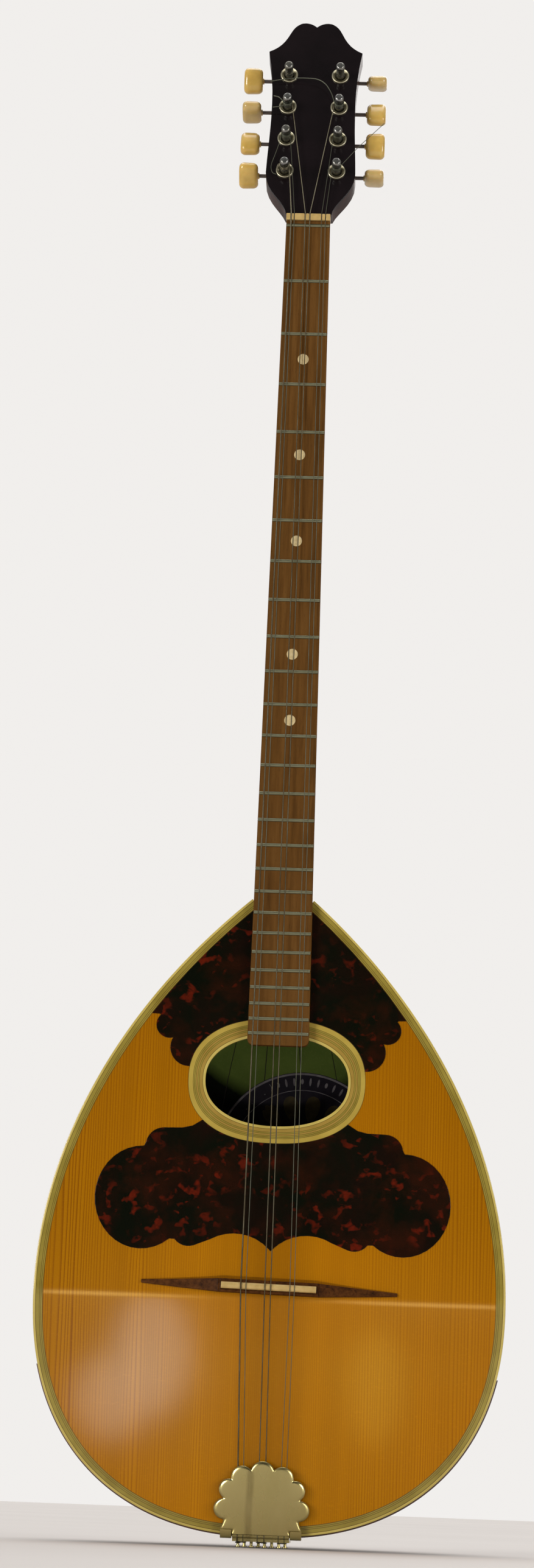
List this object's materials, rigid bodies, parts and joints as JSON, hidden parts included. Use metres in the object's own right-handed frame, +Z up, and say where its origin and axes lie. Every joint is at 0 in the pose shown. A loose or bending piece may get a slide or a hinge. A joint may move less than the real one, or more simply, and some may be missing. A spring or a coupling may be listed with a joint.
{
  "type": "mandolin",
  "caption": "Long-necked bowl-back mandolin with a floating bridge, a scalloped hinged tailpiece cover, tortoiseshell guards and worm-gear tuners.",
  "frame": {"origin": "on the soundboard's plane and centre line, level with the body's tail edge, where the tail rests in a stand", "axes": "+Z up along the neck, the soundboard faces -Y and the bowl bulges towards +Y, +X to the right seen from the front"},
  "size_m": [0.284, 0.1699, 0.9803],
  "materials": {
    "soundboard": "amber gloss lacquer over straight-grained spruce",
    "bowl_ribs": "gloss lacquer, one stave a little darker than the next",
    "end_clasp": "gloss lacquer",
    "neck": "satin lacquer, reddish brown",
    "neck_block": "bare sawn",
    "tail_block": "bare sawn",
    "top_braces": "bare planed spruce",
    "rim_lining": "bare",
    "edge_binding": "aged cream with thin dark lines",
    "rosette": "aged cream and tan rings under lacquer",
    "upper_guard": "dark tortoiseshell, polished",
    "lower_guard": "dark tortoiseshell, polished",
    "fretboard": "oiled rosewood with dark streaks",
    "frets": "worn nickel silver",
    "fret_dots": "cream pearl",
    "nut": "polished bone",
    "headstock": "dark gloss lacquer",
    "headstock_veneer": "black gloss lacquer",
    "bridge_base": "dark stained hardwood, satin",
    "bridge_saddle": "polished bone",
    "tailpiece_base": "worn nickel plate over brass",
    "tailpiece_pin": "drawn wire",
    "tailpiece_screws": "plated",
    "tailpiece_cover": "worn nickel plate over brass",
    "strings": "tarnished wire",
    "tuner_plates": "nickel plate",
    "tuner_screws": "nickel plate",
    "post_bushings": "nickel plate",
    "tuner_button": "aged cream, moulded",
    "worm_shaft": "dark steel",
    "string_post": "nickel plate",
    "worm_gear": "cut brass"
  },
  "bodies": {
    "instrument": {"soundboard": "soundboard", "bowl_ribs": "bowl_ribs", "end_clasp": "end_clasp", "neck": "neck", "neck_block": "neck_block", "tail_block": "tail_block", "top_braces": "top_braces", "rim_lining": "rim_lining", "edge_binding": "edge_binding", "rosette": "rosette", "upper_guard": "upper_guard", "lower_guard": "lower_guard", "fretboard": "fretboard", "frets": "frets", "fret_dots": "fret_dots", "nut": "nut", "headstock": "headstock", "headstock_veneer": "headstock_veneer", "bridge_base": "bridge_base", "bridge_saddle": "bridge_saddle", "tailpiece_base": "tailpiece_base", "tailpiece_pin": "tailpiece_pin", "tailpiece_screws": "tailpiece_screws", "strings": "strings", "tuner_plates": "tuner_plates", "tuner_screws": "tuner_screws", "post_bushings": "post_bushings"},
    "key_l1": {"tuner_button_l1": "tuner_button", "worm_shaft_l1": "worm_shaft"},
    "capstan_l1": {"string_post_l1": "string_post", "worm_gear_l1": "worm_gear"},
    "key_l2": {"tuner_button_l2": "tuner_button", "worm_shaft_l2": "worm_shaft"},
    "capstan_l2": {"string_post_l2": "string_post", "worm_gear_l2": "worm_gear"},
    "key_l3": {"tuner_button_l3": "tuner_button", "worm_shaft_l3": "worm_shaft"},
    "capstan_l3": {"string_post_l3": "string_post", "worm_gear_l3": "worm_gear"},
    "key_l4": {"tuner_button_l4": "tuner_button", "worm_shaft_l4": "worm_shaft"},
    "capstan_l4": {"string_post_l4": "string_post", "worm_gear_l4": "worm_gear"},
    "key_r1": {"tuner_button_r1": "tuner_button", "worm_shaft_r1": "worm_shaft"},
    "capstan_r1": {"string_post_r1": "string_post", "worm_gear_r1": "worm_gear"},
    "key_r2": {"tuner_button_r2": "tuner_button", "worm_shaft_r2": "worm_shaft"},
    "capstan_r2": {"string_post_r2": "string_post", "worm_gear_r2": "worm_gear"},
    "key_r3": {"tuner_button_r3": "tuner_button", "worm_shaft_r3": "worm_shaft"},
    "capstan_r3": {"string_post_r3": "string_post", "worm_gear_r3": "worm_gear"},
    "key_r4": {"tuner_button_r4": "tuner_button", "worm_shaft_r4": "worm_shaft"},
    "capstan_r4": {"string_post_r4": "string_post", "worm_gear_r4": "worm_gear"},
    "tail_cover": {"tailpiece_cover": "tailpiece_cover"}
  },
  "joints": [
    {"name": "key_turn_l1", "type": "hinge", "parent": "instrument", "child": "key_l1", "pos_m": [-0.0167, 0.03797, 0.93695], "axis": [1, 0, 0], "continuous": true},
    {"name": "capstan_turn_l1", "type": "hinge", "parent": "instrument", "child": "capstan_l1", "pos_m": [-0.0167, 0.01831, 0.93296], "axis": [0, -0.9781, 0.2079], "continuous": true},
    {"name": "key_turn_l2", "type": "hinge", "parent": "instrument", "child": "key_l2", "pos_m": [-0.0167, 0.03283, 0.91279], "axis": [1, 0, 0], "continuous": true},
    {"name": "capstan_turn_l2", "type": "hinge", "parent": "instrument", "child": "capstan_l2", "pos_m": [-0.0167, 0.01317, 0.9088], "axis": [0, -0.9781, 0.2079], "continuous": true},
    {"name": "key_turn_l3", "type": "hinge", "parent": "instrument", "child": "key_l3", "pos_m": [-0.0167, 0.0277, 0.88863], "axis": [1, 0, 0], "continuous": true},
    {"name": "capstan_turn_l3", "type": "hinge", "parent": "instrument", "child": "capstan_l3", "pos_m": [-0.0167, 0.00804, 0.88463], "axis": [0, -0.9781, 0.2079], "continuous": true},
    {"name": "key_turn_l4", "type": "hinge", "parent": "instrument", "child": "key_l4", "pos_m": [-0.0167, 0.02256, 0.86447], "axis": [1, 0, 0], "continuous": true},
    {"name": "capstan_turn_l4", "type": "hinge", "parent": "instrument", "child": "capstan_l4", "pos_m": [-0.0167, 0.0029, 0.86047], "axis": [0, -0.9781, 0.2079], "continuous": true},
    {"name": "key_turn_r1", "type": "hinge", "parent": "instrument", "child": "key_r1", "pos_m": [0.0167, 0.03797, 0.93695], "axis": [1, 0, 0], "continuous": true},
    {"name": "capstan_turn_r1", "type": "hinge", "parent": "instrument", "child": "capstan_r1", "pos_m": [0.0167, 0.01831, 0.93296], "axis": [0, -0.9781, 0.2079], "continuous": true},
    {"name": "key_turn_r2", "type": "hinge", "parent": "instrument", "child": "key_r2", "pos_m": [0.0167, 0.03283, 0.91279], "axis": [1, 0, 0], "continuous": true},
    {"name": "capstan_turn_r2", "type": "hinge", "parent": "instrument", "child": "capstan_r2", "pos_m": [0.0167, 0.01317, 0.9088], "axis": [0, -0.9781, 0.2079], "continuous": true},
    {"name": "key_turn_r3", "type": "hinge", "parent": "instrument", "child": "key_r3", "pos_m": [0.0167, 0.0277, 0.88863], "axis": [1, 0, 0], "continuous": true},
    {"name": "capstan_turn_r3", "type": "hinge", "parent": "instrument", "child": "capstan_r3", "pos_m": [0.0167, 0.00804, 0.88463], "axis": [0, -0.9781, 0.2079], "continuous": true},
    {"name": "key_turn_r4", "type": "hinge", "parent": "instrument", "child": "key_r4", "pos_m": [0.0167, 0.02256, 0.86447], "axis": [1, 0, 0], "continuous": true},
    {"name": "capstan_turn_r4", "type": "hinge", "parent": "instrument", "child": "capstan_r4", "pos_m": [0.0167, 0.0029, 0.86047], "axis": [0, -0.9781, 0.2079], "continuous": true},
    {"name": "cover_hinge", "type": "hinge", "parent": "instrument", "child": "tail_cover", "pos_m": [0, 0.0118, 0.0006], "axis": [1, 0, 0], "range_deg": [0, 90]}
  ],
  "couplings": [
    {"joint": "capstan_turn_l1", "follows": "key_turn_l1", "ratio": 0.071429},
    {"joint": "capstan_turn_l2", "follows": "key_turn_l2", "ratio": 0.071429},
    {"joint": "capstan_turn_l3", "follows": "key_turn_l3", "ratio": 0.071429},
    {"joint": "capstan_turn_l4", "follows": "key_turn_l4", "ratio": 0.071429},
    {"joint": "capstan_turn_r1", "follows": "key_turn_r1", "ratio": 0.071429},
    {"joint": "capstan_turn_r2", "follows": "key_turn_r2", "ratio": 0.071429},
    {"joint": "capstan_turn_r3", "follows": "key_turn_r3", "ratio": 0.071429},
    {"joint": "capstan_turn_r4", "follows": "key_turn_r4", "ratio": 0.071429}
  ]
}
